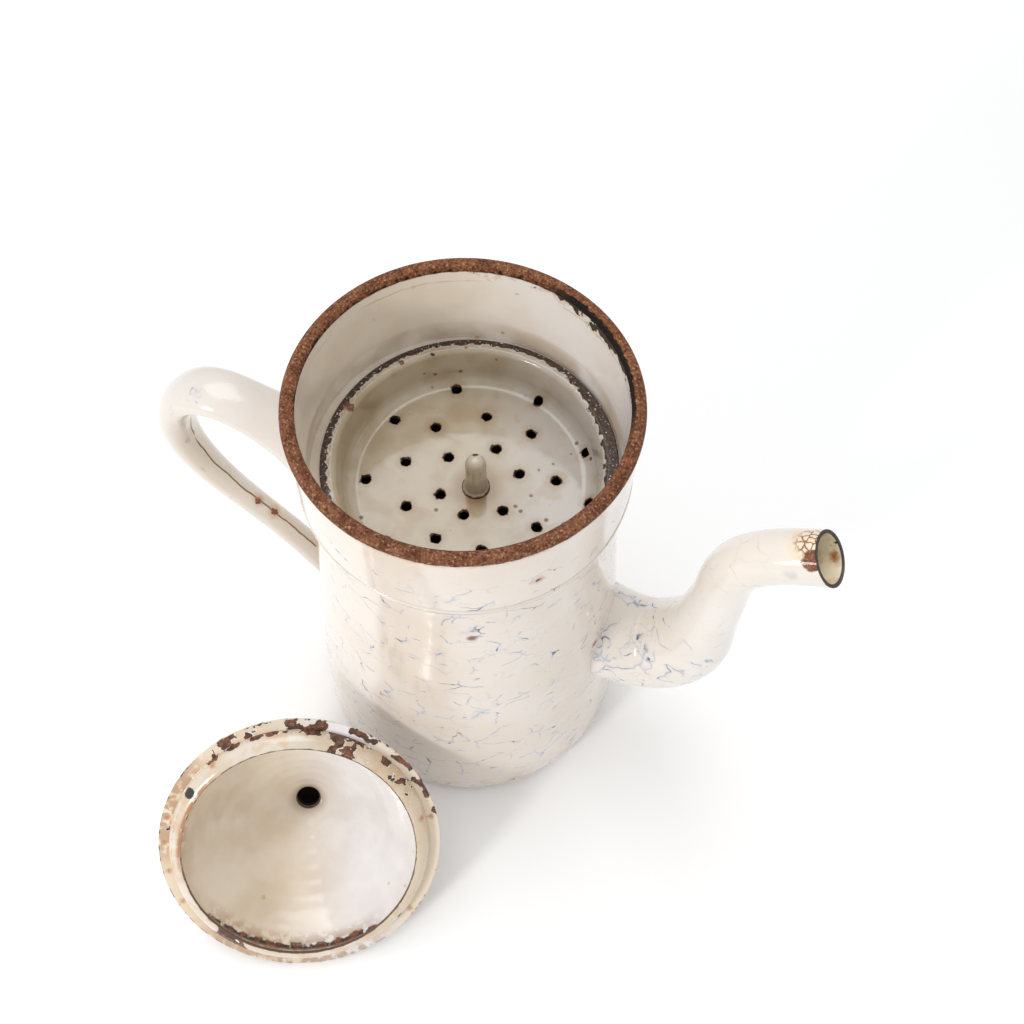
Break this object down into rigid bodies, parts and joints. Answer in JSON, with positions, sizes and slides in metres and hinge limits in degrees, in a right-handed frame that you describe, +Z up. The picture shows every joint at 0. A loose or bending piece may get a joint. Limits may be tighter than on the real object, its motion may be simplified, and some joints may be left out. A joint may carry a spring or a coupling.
{
  "type": "enamelled drip coffee pot",
  "caption": "Enamelled steel drip coffee pot with gooseneck spout, hollow loop handle, lift-out perforated strainer and loose conical lid.",
  "frame": {"origin": "centre of the pot's flat base, on the pot's axis", "axes": "+Z up along the pot's axis, +X towards the spout, -X towards the handle; the loose lid lies on the -Y side"},
  "size_m": [0.2405, 0.2123, 0.204],
  "materials": {
    "pot_enamel": "glossy cream enamel with a fine blue-grey vein network",
    "spout_enamel": "glossy cream enamel, chipped at the tip",
    "handle_enamel": "glossy off-white enamel, rust along the seam",
    "strainer_enamel": "worn beige-grey enamel, flange worn to dark steel",
    "lid_enamel": "glossy cream enamel, rust and chips on the brim",
    "bare_steel": "bare steel, evenly rusted brown"
  },
  "bodies": {
    "pot": {"pot_wall": "pot_enamel", "pot_bottom": "pot_enamel", "collar_sleeve": "pot_enamel", "rim_hoop": "bare_steel", "spout": "spout_enamel", "handle": "handle_enamel"},
    "strainer": {"strainer_dish": "strainer_enamel", "strainer_knob": "strainer_enamel"},
    "lid": {"lid_cone": "lid_enamel", "lid_collar": "lid_enamel", "lid_knob": "lid_enamel"}
  },
  "joints": [
    {"name": "strainer_lift", "type": "slide", "parent": "pot", "child": "strainer", "axis": [0, 0, 1], "range_m": [0, 0.09]},
    {"name": "lid_lift", "type": "slide", "parent": "pot", "child": "lid", "axis": [0, 0, 1], "range_m": [0, 0.21]}
  ]
}
